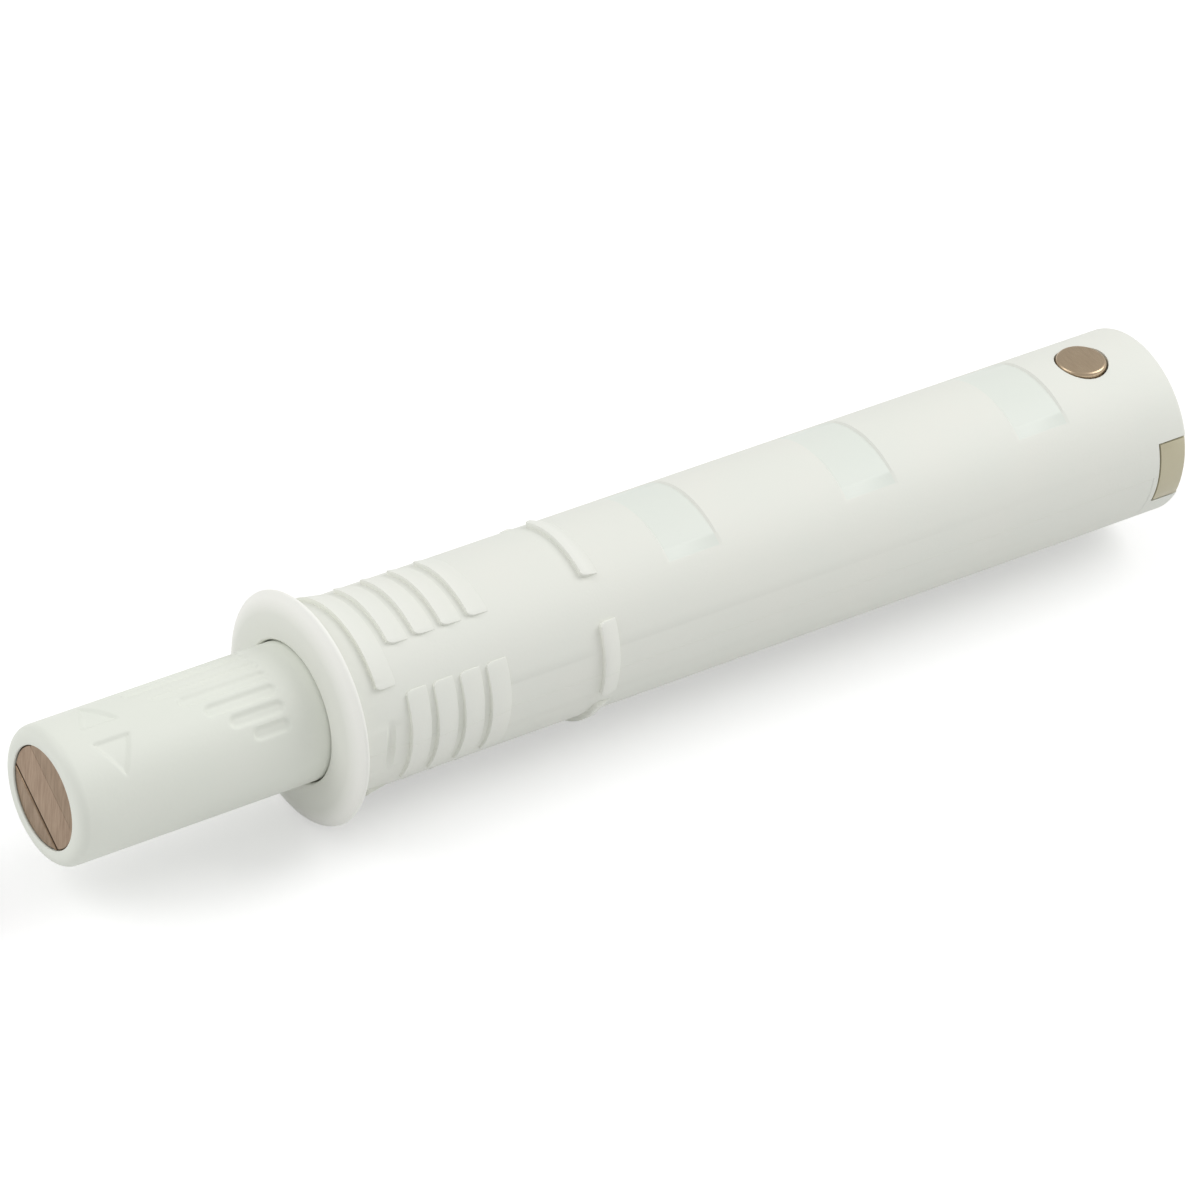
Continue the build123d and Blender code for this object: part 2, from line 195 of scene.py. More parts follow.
def moulded_nylon(name, colour, cloud, roughness, grain_mm, grain_depth_mm, seams_and_rim_glow):
    """White nylon with clouds and grain, and for the housing its pale rim and mould lines."""
    material, output = start_material(name)
    place = add(material, "TexCoord").outputs["Object"]
    clouds = add(material, "TexNoise", Vector=place, Scale=1 / (cloud_mm * mm), Detail=3.0,
                 Roughness=0.6)
    mix = add(material, "Mix", {"data_type": "RGBA"}, i0=clouds.outputs["Fac"], i6=linear(colour),
              i7=linear(cloud))
    grain = add(material, "TexNoise", Vector=place, Scale=1 / (grain_mm * mm), Detail=2.0)
    bump = add(material, "Bump", Height=grain.outputs["Fac"], Strength=1.0,
               Distance=grain_depth_mm * mm)
    if seams_and_rim_glow:
        across = add(material, "VectorMath", {"operation": "MULTIPLY"}, i0=place, i1=(0, 1, 1))
        radius = add(material, "VectorMath", {"operation": "LENGTH"}, i0=across.outputs[0])
        # Painted glow: the colour gets paler towards the flange's thin rim, where light would pass
        # through the nylon.
        rim_glow_paint = add(material, "MapRange", Value=radius.outputs["Value"],
                   From_Min=glow_paint_from * mm, From_Max=glow_paint_to * mm)
        mix = add(material, "Mix", {"data_type": "RGBA"}, i0=rim_glow_paint.outputs[0], i6=mix.outputs[2],
                  i7=linear("#fafaf4"))
        axis = add(material, "SeparateXYZ", Vector=place)
        off_seam = add(material, "Math", {"operation": "ABSOLUTE"}, i0=axis.outputs["Z"])
        ridge = add(material, "MapRange", {"interpolation_type": "SMOOTHSTEP"},
                    Value=off_seam.outputs[0], From_Max=seam_half_w * mm, To_Min=side_seam,
                    To_Max=0.0)
        behind = add(material, "Math", {"operation": "GREATER_THAN"}, i0=axis.outputs["X"],
                     i1=seam_start_x * mm)
        seam = add(material, "Math", {"operation": "MULTIPLY"}, i0=ridge.outputs[0],
                   i1=behind.outputs[0])
        from_core = add(material, "Math", {"operation": "SUBTRACT"}, i0=axis.outputs["X"],
                        i1=insert_line_x * mm)
        off_core = add(material, "Math", {"operation": "ABSOLUTE"}, i0=from_core.outputs[0])
        dent = add(material, "MapRange", {"interpolation_type": "SMOOTHSTEP"},
                   Value=off_core.outputs[0], From_Max=seam_half_w * mm, To_Min=-1.0,
                   To_Max=0.0)
        below = add(material, "Math", {"operation": "LESS_THAN"}, i0=axis.outputs["Z"], i1=0.0)
        low_dent = add(material, "Math", {"operation": "MULTIPLY"}, i0=dent.outputs[0],
                       i1=below.outputs[0])
        marks = add(material, "Math", {"operation": "ADD"}, i0=seam.outputs[0],
                    i1=low_dent.outputs[0])
        bump = add(material, "Bump", Height=marks.outputs[0], Strength=1.0,
                   Distance=seam_height * mm, Normal=bump.outputs[0])
    shader = add(material, "BsdfPrincipled", Base_Color=mix.outputs[2], Roughness=roughness,
                 IOR=1.53, Normal=bump.outputs[0])
    material.node_tree.links.new(shader.outputs[0], output.inputs["Surface"])
    print(f"{name}: grain {grain_mm} mm, roughness {roughness}")
    return material

housing_nylon = moulded_nylon("housing nylon, spark-eroded white", "#ebebe3", "#e7eae2",
                              roughness=0.62, grain_mm=0.16, grain_depth_mm=0.004, seams_and_rim_glow=True)
panel_nylon = moulded_nylon("panel nylon, smooth white", "#e6eae2", "#e3e9e1",
                            roughness=0.5, grain_mm=0.16, grain_depth_mm=0.003, seams_and_rim_glow=False)
tip_nylon = moulded_nylon("tip nylon, satin white", "#e9ebe2", "#e6eae0",
                          roughness=0.52, grain_mm=0.22, grain_depth_mm=0.005, seams_and_rim_glow=False)

# %% [markdown]
# ## Acetal
#
# The plug behind the pin and the hidden carriage are acetal, a hard, slippery plastic. It is
# moulded in a polished cavity and looks waxy: an IOR of 1.48 and a roughness of about 0.35.
# The plug is a beige grey, and the carriage is left its natural white.

# %% Acetal
acetal_cloud_mm, ripple_mm, ripple_depth = 1.5, 0.3, 0.003

def moulded_acetal(name, colour, cloud):
    """Polished acetal between two colours, with a faint ripple."""
    material, output = start_material(name)
    place = add(material, "TexCoord").outputs["Object"]
    clouds = add(material, "TexNoise", Vector=place, Scale=1 / (acetal_cloud_mm * mm), Detail=2.0)
    mix = add(material, "Mix", {"data_type": "RGBA"}, i0=clouds.outputs["Fac"], i6=linear(colour),
              i7=linear(cloud))
    ripple = add(material, "TexNoise", Vector=place, Scale=1 / (ripple_mm * mm), Detail=2.0)
    bump = add(material, "Bump", Height=ripple.outputs["Fac"], Distance=ripple_depth * mm)
    shader = add(material, "BsdfPrincipled", Base_Color=mix.outputs[2], Roughness=0.36, IOR=1.48,
                 Normal=bump.outputs[0])
    material.node_tree.links.new(shader.outputs[0], output.inputs["Surface"])
    print(name, "from", colour, "to", cloud)
    return material

beige_acetal = moulded_acetal("plug acetal, beige grey", "#c6bfa3", "#bdb69a")
natural_acetal = moulded_acetal("carriage acetal, natural white", "#e6e5dc", "#e2e1d8")

# %% [markdown]
# ## Plated steel
#
# The pin is turned steel with a thin coat of nickel, which is a warm, slightly brownish grey.
# Grinding leaves fine lines, drawn here by a noise that is squeezed along one direction. The
# magnet and its pole plates are ground across their faces, so their lines run along the
# plates. A metal's colour is its reflection, so metallic is 1 and the IOR keeps its default.

# %% Nickel and spring steel
stack_tilt = 32.5  # degrees by which the magnet and its plates are turned about X
line_depth = 0.004
noise_span = {"From_Min": 0.3, "From_Max": 0.7}  # most of the noise lies between these

def plated_metal(name, colour, worn, roughness, line_mm, turn_x=0.0, stretch=(1, 1, 12)):
    """Bright metal with fine lines. stretch draws the noise out along an axis."""
    material, output = start_material(name)
    place = add(material, "TexCoord").outputs["Object"]
    turned = add(material, "Mapping", Vector=place, Rotation=(radians(turn_x), 0, 0),
                 Scale=[1 / (line_mm * mm) / s for s in stretch])
    lines = add(material, "TexNoise", Vector=turned.outputs[0], Scale=1.0, Detail=4.0,
                Roughness=0.65)
    level = add(material, "MapRange", Value=lines.outputs["Fac"], **noise_span)
    mix = add(material, "Mix", {"data_type": "RGBA"}, i0=level.outputs[0], i6=linear(colour),
              i7=linear(worn))
    shine = add(material, "MapRange", Value=lines.outputs["Fac"], **noise_span,
                To_Min=roughness - 0.06, To_Max=roughness + 0.1)
    bump = add(material, "Bump", Height=lines.outputs["Fac"], Distance=line_depth * mm)
    shader = add(material, "BsdfPrincipled", Base_Color=mix.outputs[2], Metallic=1.0,
                 Roughness=shine.outputs[0], Normal=bump.outputs[0])
    material.node_tree.links.new(shader.outputs[0], output.inputs["Surface"])
    print(f"{name}: lines {line_mm} mm apart")
    return material

pin_nickel = plated_metal("pin nickel, turned", "#cdb89c", "#b8a48a", 0.3, 0.12, stretch=(1, 8, 8))
magnet_nickel = plated_metal("magnet nickel, ground", "#a48e78", "#907a66", 0.38, 0.12,
                             turn_x=-stack_tilt)
pole_nickel = plated_metal("pole plate nickel, ground", "#9a856f", "#85715d", 0.36, 0.12,
                           turn_x=-stack_tilt)
spring_wire = plated_metal("spring wire, drawn", "#b4b4b6", "#a2a2a5", 0.3, 0.1, stretch=(8, 1, 1))

# %% [markdown]
# ## Turning a piece
#
# The housing, the tip and the pin are round, so each starts as an outline of (x, radius)
# points, like the edge of a lathe's template. A vertex bevel rounds the outline's corners,
# and spin turns it about the X axis. Angles are counted from the top towards the camera's
# side, which is minus Y.

# %% Turning helpers
def outline(bm, points):
    """A closed outline's vertices, joined by edges. Each point is (x, radius) in millimetres."""
    verts = [bm.verts.new((x * mm, 0, r * mm)) for x, r in points]
    for a, b in zip(verts, verts[1:] + verts[:1]):
        bm.edges.new((a, b))
    return verts

def round_corner(bm, vert, radius, segments=6):
    """Round one corner of the outline before it is turned."""
    bmesh.ops.bevel(bm, geom=[vert], offset=radius * mm, segments=segments, profile=0.5,
                    affect="VERTICES", material=-1)

def turn(bm, geom, start=0.0, end=360.0, steps=180, axis=(1, 0, 0), centre=(0, 0, 0)):
    """Turn geometry about an axis, between two angles."""
    whole = abs(end - start - 360) < 1e-6
    bmesh.ops.rotate(bm, verts=[g for g in geom if isinstance(g, bmesh.types.BMVert)],
                     cent=centre, matrix=Matrix.Rotation(radians(start), 3, Vector(axis)))
    bmesh.ops.spin(bm, geom=geom, cent=centre, axis=axis, angle=radians(end - start),
                   steps=steps, use_merge=whole)
    bmesh.ops.remove_doubles(bm, verts=bm.verts, dist=0.001 * mm)
    bmesh.ops.recalc_face_normals(bm, faces=bm.faces)

def scale_radius(vert, factor):
    """Move a vertex away from the X axis, or towards it where factor is below 1."""
    vert.co.y *= factor
    vert.co.z *= factor

def polar(point):
    """(x, angle in degrees, radius) of a point, in millimetres."""
    return point.x / mm, degrees(atan2(-point.y, point.z)), hypot(point.y, point.z) / mm

def finish_piece(name, bm, body, slot, material, sharp=32, *nodes):
    """Make the bmesh an object that stands for CAD nodes and rides on a body, if one is named.

    Edges with a turn of more than sharp degrees are shaded sharp.
    """
    mesh = bpy.data.meshes.new(name)
    bm.to_mesh(mesh)
    bm.free()
    mesh.shade_smooth()
    mesh.set_sharp_from_angle(angle=radians(sharp))
    mesh.materials.append(material)
    piece = bpy.data.objects.new(name, mesh)
    bpy.context.collection.objects.link(piece)
    if body:
        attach(piece, body)
    for node in nodes:
        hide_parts(node)
    print(f"{name}: {len(mesh.polygons)} faces")
    return piece

# %% [markdown]
# ## The housing's shell
#
# The shell is one outline turned all the way round: the flange's domed front, its rim, the
# long body, the rounded rear edge, and the bore inside. Modelling it as one closed outline
# keeps its wall thickness right everywhere. The turn starts at 1 degree, so that the panels'
# edges at 39 degrees fall on its grid.

# %% Turn the shell
shell = bmesh.new()
seat_hollow_w, seat_hollow_depth = 0.4, 0.15  # round the body, in the flange's rear face
flat_r = 4.45  # flat front of the flange
lip_gap, lip_length = 0.08, 0.1  # the mouth fits closer round the tip than the bore
end_growth = 0.17  # the rear end stops just short of the plug's face
grid_start = 1.0
rear_end, lip_r = body_end + end_growth, tip_r + lip_gap
points = [(flange_front, lip_r), (flange_front, flat_r), (-0.66, 5.0), (-0.5, 5.45),
          (-0.18, flange_r), (0, flange_r), (0, body_r + seat_hollow_w),
          (-seat_hollow_depth, body_r), (rear_end, body_r), (rear_end, bore_r),
          (lip_length, bore_r), (0, lip_r)]
corners = outline(shell, points)
corner_radii = {0: 0.13, 1: 0.25, 2: 0.22, 3: 0.22, 4: 0.09, 5: 0.09, 8: 0.25}
for index, radius in corner_radii.items():
    round_corner(shell, corners[index], radius)
turn(shell, shell.verts[:] + shell.edges[:], grid_start, grid_start + 360.0)
print(f"shell: {len(shell.faces)} faces, wall {body_r - bore_r:.2f} mm")

# %% [markdown]
# ## Panels along the top
#
# Three shallow panels are sunk 0.12 mm into the top of the body. Cutting the shell with
# planes gives each panel its own faces, and an inset with a depth sinks them and slopes their
# walls. Only faces near the panel are cut, so the rest of the shell keeps its clean grid.
# A panel is smoother than the skin round it, so its faces get a second material, and it runs
# out towards its two long edges.

# %% Cut a window into the shell
skin_depth = 0.3  # a face further in than this isn't part of the outside
angle_margin = 6  # degrees beyond a window in which faces are cut too

def near_faces(bm, x0, x1, low, high):
    """Outer faces that reach into a window of x and have their middle in one of angle."""
    picked = []
    for face in bm.faces:
        angle, r = polar(face.calc_center_median())[1:]
        xs = [v.co.x / mm for v in face.verts]
        if r > body_r - skin_depth and max(xs) > x0 and min(xs) < x1 and low < angle < high:
            picked.append(face)
    return picked

def cut(bm, faces, point, normal):
    """Cut these faces along a plane."""
    edges = {e for f in faces for e in f.edges}
    verts = {v for f in faces for v in f.verts}
    bmesh.ops.bisect_plane(bm, geom=list(faces) + list(edges) + list(verts), dist=1e-7,
                           plane_co=point, plane_no=normal)

def window(bm, x0, x1, low, high):
    """Cut a window of x and angle into the outer surface, and return its faces."""
    limits = x0, x1, low - angle_margin, high + angle_margin
    for x in (x0, x1):
        cut(bm, near_faces(bm, *limits), (x * mm, 0, 0), (1, 0, 0))
    for angle in (low, high):
        a = radians(angle)
        cut(bm, near_faces(bm, *limits), (0, 0, 0), (0, cos(a), sin(a)))
    return [f for f in near_faces(bm, x0, x1, low, high)
            if x0 < polar(f.calc_center_median())[0] < x1]

# %% Sink the panels
panel_starts = (18.98, 29.66, 40.35)
panel_length, panel_half, panel_depth = 3.2, 39.0, 0.12  # half is an angle in degrees
panel_wall = 0.11
run_out = 0.7  # share of the depth that is lost at the long edges
border, border_angle = 0.1, 1.5  # a narrow frame of faces round each panel

for start in panel_starts:
    end = start + panel_length
    window(shell, start - border, end + border, -panel_half - border_angle,
           panel_half + border_angle)
    faces = window(shell, start, end, -panel_half, panel_half)
    bmesh.ops.inset_region(shell, faces=faces, thickness=panel_wall * mm,
                           depth=-panel_depth * mm, use_even_offset=True, use_boundary=True)
    for face in faces:
        face.material_index = 1
    for vert in {v for f in faces for v in f.verts}:
        angle, r = polar(vert.co)[1:]
        scale_radius(vert, 1 + panel_depth / r * run_out * (angle / panel_half) ** 2)
    print(f"panel at {start} mm: {len(faces)} faces")

# %% [markdown]
# ## Notches, pin hole and gate marks
#
# At the rear end the plug's two tabs sit in notches, and the pin's head sits in a round
# seat. Each opening is made by deleting the faces inside it and closing the wall that is left
# open: a notch with new faces between the outer and the inner skin, and the seat by
# extruding its rim straight down.
#
# Behind the flange, a soft dent on each side shows where the gate was, through which the
# plastic flowed into the mould.

# %% Cut the notches for the tabs
tab_length, tab_half_angle = 1.75, 20.5
front_gap, side_gap = 0.11, 0.09  # round each tab
wall_y, wall_z = 2.5, 4  # the walls with the notches lie beyond wall_y and within wall_z
reach_x = 0.2  # faces this far in front of a notch are cut too
notch_x = side("rear_plug", "x", 1) - tab_length - front_gap
notch_half = body_r * sin(radians(tab_half_angle)) + side_gap

def open_notch(bm, y_sign):
    """A notch through the wall at the rear end, open to the rear."""
    def rear_faces():
        return [f for f in bm.faces if y_sign * f.calc_center_median().y > wall_y * mm
                and max(v.co.x for v in f.verts) > (notch_x - reach_x) * mm
                and abs(f.calc_center_median().z) < wall_z * mm]
    cut(bm, rear_faces(), (notch_x * mm, 0, 0), (1, 0, 0))
    for z in (-notch_half, notch_half):
        cut(bm, rear_faces(), (0, 0, z * mm), (0, 0, 1))
    inside = [f for f in bm.faces if y_sign * f.calc_center_median().y > wall_y * mm
              and f.calc_center_median().x > notch_x * mm
              and abs(f.calc_center_median().z) < notch_half * mm]
    bmesh.ops.delete(bm, geom=inside, context="FACES")
    rim = [e for e in bm.edges if e.is_boundary and y_sign * e.verts[0].co.y > wall_y * mm]
    front = [e for e in rim if all(abs(v.co.x - notch_x * mm) < 1e-6 for v in e.verts)]
    bmesh.ops.bridge_loops(bm, edges=front)
    for z in (-notch_half, notch_half):
        wall = [e for e in bm.edges if e.is_boundary
                and all(abs(v.co.z - z * mm) < 1e-6 and y_sign * v.co.y > 0 for v in e.verts)]
        bmesh.ops.holes_fill(bm, edges=wall, sides=0)
        if any(e.is_boundary for e in wall):
            bmesh.ops.contextual_create(bm, geom=list({v for e in wall for v in e.verts}))

for y_sign in (1, -1):
    open_notch(shell, y_sign)

# %% Sink the round seat for the pin's head
head_t, seat_gap = 0.7, 0.01
seat_r = (side("pivot_pin", "x", 1) - side("pivot_pin", "x", 0)) / 2 + seat_gap
seat_z = pin_top - head_t - seat_gap
seat_sides, reach, reach_angle = 32, 2.2, 32

def seat_faces():
    """The outer faces round the pin."""
    return near_faces(shell, pin_x - reach, pin_x + reach, -reach_angle, reach_angle)

for i in range(seat_sides):
    a = 2 * pi * i / seat_sides
    cut(shell, seat_faces(), ((pin_x + seat_r * cos(a)) * mm, seat_r * sin(a) * mm, 0),
        (cos(a), sin(a), 0))
inside = [f for f in seat_faces()
          if hypot(f.calc_center_median().x / mm - pin_x, f.calc_center_median().y / mm) < seat_r]
bmesh.ops.delete(shell, geom=inside, context="FACES")
rim = [e for e in shell.edges if e.is_boundary and e.verts[0].co.z > 3 * mm]
walls = bmesh.ops.extrude_edge_only(shell, edges=rim)["geom"]
foot = [g for g in walls if isinstance(g, bmesh.types.BMVert)]
for vert in foot:
    vert.co.z = seat_z * mm
floor_edges = [g for g in walls if isinstance(g, bmesh.types.BMEdge) and g.is_boundary]
bmesh.ops.contextual_create(shell, geom=floor_edges)
print(f"seat for the pin: {len(rim)} edges round it")

# %% Press in the gate marks
def gate_mark(bm, middle, x, width, half, depth):
    """A soft hollow left where the plastic flowed in. middle and half are angles."""
    limits = x - width, x + width, middle - half, middle + half
    window(bm, *limits)
    for step in (-0.5, -0.2, 0.2, 0.5):
        cut(bm, near_faces(bm, *limits), ((x + step * width) * mm, 0, 0), (1, 0, 0))
    for vert in bm.verts:
        x_mm, angle, r = polar(vert.co)
        along = abs(x_mm - x) / width
        across = abs((angle - middle + 180) % 360 - 180) / half
        if along < 0.99 and across < 1 and r > body_r - 0.1:
            scale_radius(vert, 1 - depth / r * (1 - along * along) * (1 - across * across))

for middle in (90, -90):
    gate_mark(shell, middle, x=1.95, width=0.24, half=19, depth=0.22)
bmesh.ops.recalc_face_normals(shell, faces=shell.faces)
print("open edges left:", sum(e.is_boundary for e in shell.edges))

# %% Finish the shell
housing_shell = finish_piece("housing_shell", shell, "housing", "housing_plastic",
                             housing_nylon, 32, "housing")
housing_shell.data.materials.append(panel_nylon)

# %% [markdown]
# ## Barbs
#
# Each barb is a wedge: a square face towards the flange that bites when the catch is pulled,
# and a ramp behind it that lets the catch be pushed in. A wedge-shaped outline is turned
# through part of a circle. Its front corners are then rounded by about 0.4 mm, and every
# edge that shows gets the small radius that all moulded edges have. The barbs get a little
# lower towards their ends, and most of all those on the sides, across the mould's seam.

# %% Make one barb
barb_height, root_depth = 0.26, 0.4  # above and below the body's surface
barb_corner, barb_edge = 0.4, 0.07
barb_top = body_r + barb_height

def add_barb(bm, x, length, tail, start, end, crest=0.0, fade=0.0):
    """One wedge between two angles, joined to the others in bm. fade lowers its two ends."""
    wedge = bmesh.new()
    root = body_r - root_depth
    points = [(x, root), (x, barb_top), (x + length, body_r + tail), (x + length, root)]
    if crest:
        points.insert(2, (x + crest, barb_top))
    wedge.faces.new(outline(wedge, points))
    steps = max(6, round((end - start) / 2.5))
    turn(wedge, wedge.verts[:] + wedge.edges[:] + wedge.faces[:], start, end, steps)
    middle, half = (start + end) / 2, (end - start) / 2
    for vert in wedge.verts:
        angle, r = polar(vert.co)[1:]
        if fade and r > body_r:
            off = ((angle - middle + 180) % 360 - 180) / half
            scale_radius(vert, 1 - (r - body_r) / r * fade * off * off)
    corners = [e for e in wedge.edges if e.calc_face_angle(0) > radians(60)
               and all(abs(v.co.x - x * mm) < 1e-7 for v in e.verts)
               and abs(polar(e.verts[0].co)[2] - polar(e.verts[1].co)[2]) > 0.1]
    bmesh.ops.bevel(wedge, geom=corners, offset=barb_corner * mm, segments=6, profile=0.5,
                    affect="EDGES", material=-1)
    sharp = [e for e in wedge.edges if e.calc_face_angle(0) > radians(40)
             and min(polar(v.co)[2] for v in e.verts) > body_r - 0.2]
    bmesh.ops.bevel(wedge, geom=sharp, offset=barb_edge * mm, segments=3, profile=0.5,
                    affect="EDGES", material=-1, clamp_overlap=True)
    part = bpy.data.meshes.new("wedge")
    wedge.to_mesh(part)
    wedge.free()
    bm.from_mesh(part)
    bpy.data.meshes.remove(part)

# %% Place the rows and the ring
first_barb, barb_pitch, barb_length, rows = 1.48, 1.53, 1.16, 5
collar_half, top_half, side_half = 52.5, 30, 32  # half angles of the barbs
top_tail, side_tail = 0.03, 0.13  # height left at the ramp's end
ring_x, ring_length, ring_crest = 14.17, 0.95, 0.35
ring_arcs = ((-30, 30, top_tail), (57.5, 105.5, side_tail), (116, 244, top_tail),
             (254.5, 302.5, side_tail))

barbs = bmesh.new()
for middle in (0, 180):
    for row in range(rows):
        half = collar_half if row == 0 else top_half
        add_barb(barbs, first_barb + barb_pitch * row, barb_length, top_tail,
                 middle - half, middle + half, fade=0.2)
for middle in (90, 270):
    for row in range(1, rows):
        add_barb(barbs, first_barb + barb_pitch * row, barb_length, side_tail,
                 middle - side_half, middle + side_half, fade=0.6)
for start, end, tail in ring_arcs:
    add_barb(barbs, ring_x, ring_length, tail, start, end, crest=ring_crest)
finish_piece("barb_rows", barbs, "housing", "housing_plastic", housing_nylon)

# %% [markdown]
# ## The tip
#
# The tip is turned by hand to set its reach, so it has two arrows and a row of grip grooves
# that get longer round the tip. They are shallow and soft-edged. The sleeve is turned with a
# fine grid, and a function of x and angle says how deep the surface is pressed in at each
# point, as a die would do it.

# %% Grooves and arrows as depths
grooves, groove_half_w, groove_depth = 7, 0.28, 0.13
groove_angle, groove_step = 55.4, 14.9  # of the first one, and down to the next
groove_rear, groove_length, groove_growth = -2.66, 1.98, 0.965
arrow_half, arrow_height, arrow_depth, arrow_x = 0.98, 1.9, 0.12, -11.62
arrow_bases = ((1, 20.2), (-1, 3.2))  # direction, and the angle of the base
press_edge = 0.16  # width over which the surface goes down

def slot_distance(x, y, x0, x1, half):
    """Distance in millimetres outside a slot with round ends, negative inside it."""
    nearest = min(max(x, x0 + half), x1 - half)
    return hypot(x - nearest, y) - half

def arrow_distance(x, y, direction):
    """Distance outside a triangle that points round the tip, negative inside it."""
    along = y * direction
    slope = hypot(arrow_half, arrow_height)
    sides = (abs(x) * arrow_height + (along - arrow_height) * arrow_half) / slope
    return max(-along, sides)

def pressed_depth(x, angle):
    """How deep the grooves and arrows press the tip's surface in, in millimetres."""
    arc = radians(1) * tip_r
    distance, depth = inf, 0.0
    for i in range(grooves):
        d = slot_distance(x, (angle - (groove_angle - groove_step * i)) * arc,
                          groove_rear - groove_length - groove_growth * i, groove_rear,
                          groove_half_w)
        if d < distance:
            distance, depth = d, groove_depth
    for direction, base in arrow_bases:
        d = arrow_distance(x - arrow_x, (angle - base) * arc, direction)
        if d < distance:
            distance, depth = d, arrow_depth
    blend = min(max(0.5 - distance / press_edge, 0), 1)
    return depth * blend * blend * (3 - 2 * blend)

# %% Turn the sleeve
mouth_r, pocket_r, carrier_r, thread_r = 2.6, 2.7, 2.95, 2.4  # from the front to the rear
mouth_lip = 0.1  # a thin lip that keeps the magnet in
carrier_gap = 0.05
carrier_front, carrier_back = side("magnet_carrier", "x", 0) - carrier_gap, -10.4
first, last, rings = -13.0, -2.2, 108  # the fine grid under the grooves and arrows
low, high = -60, 80  # they lie between these angles
front_round, mouth_round = 0.55, 0.06

sleeve = bmesh.new()
points = [(tip_front, mouth_r), (tip_front, tip_r)]
points += [(first + (last - first) * i / rings, tip_r) for i in range(rings + 1)]
points += [(tip_back, tip_r), (tip_back, thread_r), (carrier_back, thread_r),
           (carrier_back, carrier_r), (carrier_front, carrier_r), (carrier_front, pocket_r),
           (tip_front + mouth_lip, pocket_r), (tip_front + mouth_lip, mouth_r)]
corners = outline(sleeve, points)
round_corner(sleeve, corners[1], front_round, 8)
round_corner(sleeve, corners[0], mouth_round, 2)
turn(sleeve, sleeve.verts[:] + sleeve.edges[:], steps=240)
moved = 0
for vert in sleeve.verts:
    x, angle, r = polar(vert.co)
    if r > tip_r - 0.01 and first - 0.01 < x < last + 0.01 and low < angle < high:
        depth = pressed_depth(x, angle)
        if depth:
            scale_radius(vert, 1 - depth / r)
            moved += 1
print(f"{moved} points pressed in")
finish_piece("tip_sleeve_turned", sleeve, "tip", "tip_plastic", tip_nylon, 40, "tip_sleeve")

# %% [markdown]
# ## The pivot pin
#
# The pin is turned steel with a flat head whose edge is broken by a small bright bevel. It is
# a lathe part as well, but its axis is upright.

# %% Turn the pin
pin = bmesh.new()
shank_r, head_gap, head_bevel = 0.75, 0.09, 0.17
head_r = seat_r - head_gap
profile = [(0, pin_foot), (shank_r, pin_foot), (shank_r, pin_top - head_t),
           (head_r, pin_top - head_t), (head_r, pin_top), (0, pin_top)]
verts = [pin.verts.new(((pin_x + r) * mm, 0, z * mm)) for r, z in profile]
for a, b in zip(verts, verts[1:]):
    pin.edges.new((a, b))
round_corner(pin, verts[4], head_bevel, 5)
turn(pin, pin.verts[:] + pin.edges[:], steps=72, axis=(0, 0, 1), centre=(pin_x * mm, 0, 0))
finish_piece("pivot_pin_turned", pin, "housing", "pin_steel", pin_nickel, 50, "pivot_pin")

# %% [markdown]
# ## The main spring
#
# The spring pushes the carriage out. A spin of twelve turns, with a step along the axis, winds
# a round wire section into a coil. Its front end sits on the carriage and its rear end on the
# plug, which belongs to the housing's body. Here the piece rides on no body and keeps its rest
# length.

# %% Wind the spring
coil_z = (side("main_spring", "z", 0) + side("main_spring", "z", 1)) / 2
coil_start, coil_end = side("main_spring", "x", 0), side("main_spring", "x", 1)
wire_r, coil_r, turns, steps = 0.22, 1.25, 12, 24
spring = bmesh.new()
section = bmesh.ops.create_circle(spring, segments=10, radius=wire_r * mm, cap_ends=True)["verts"]
bmesh.ops.rotate(spring, verts=section, matrix=Matrix.Rotation(radians(90), 3, "X"))
bmesh.ops.translate(spring, verts=section,
                    vec=((coil_start + wire_r) * mm, 0, (coil_z + coil_r) * mm))
pitch = (coil_end - coil_start - 2 * wire_r) / turns
bmesh.ops.spin(spring, geom=spring.verts[:] + spring.edges[:] + spring.faces[:], axis=(1, 0, 0),
               cent=(0, 0, coil_z * mm), angle=2 * pi * turns, steps=turns * steps,
               dvec=(pitch / steps * mm, 0, 0))
bmesh.ops.remove_doubles(spring, verts=spring.verts, dist=0.001 * mm)
bmesh.ops.recalc_face_normals(spring, faces=spring.faces)
coil = finish_piece("main_spring_wound", spring, None, "spring_steel", spring_wire, 60,
                    "main_spring")
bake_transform(coil)

# %% [markdown]
# ## The CAD pieces that stay
#
# The magnet and the hidden mechanism already have the right shape, so they keep their CAD
# meshes. The plug and the two pole plates show their edges, and a perfectly sharp edge never
# catches the light, so these are copied and rounded. The copy's triangles are first joined
# into whole flat faces. The plates don't fit alike either: the lower one leaves an open slit
# beside the magnet, and the upper one closes up against it.

# %% Dress the CAD pieces
def soften(name, node, slot, material, edge_mm, shift=None):
    """A copy of a CAD node with rounded edges. shift says how far each point moves first."""
    source = frame["nodes"][node]
    bm = bmesh.new()
    bm.from_mesh(source.data)
    bm.transform(source.matrix_world)
    bmesh.ops.remove_doubles(bm, verts=bm.verts, dist=0.001 * mm)
    bmesh.ops.dissolve_limit(bm, angle_limit=radians(1), verts=bm.verts, edges=bm.edges)
    if shift:
        for vert in bm.verts:
            vert.co += shift(vert.co) * mm
    sharp = [e for e in bm.edges if e.is_manifold and e.calc_face_angle(0) > radians(50)]
    bmesh.ops.bevel(bm, geom=sharp, offset=edge_mm * mm, segments=3, profile=0.5,
                    affect="EDGES", material=-1, clamp_overlap=True)
    piece = finish_piece(name, bm, source["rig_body"], slot, material, 40, node)
    piece.modifiers.new("flat faces stay flat", "WEIGHTED_NORMAL").keep_sharp = True

def dress(node, material):
    """Give a CAD node its material."""
    frame["nodes"][node].data.materials.clear()
    frame["nodes"][node].data.materials.append(material)
    print(f"{node}: {material.name}")

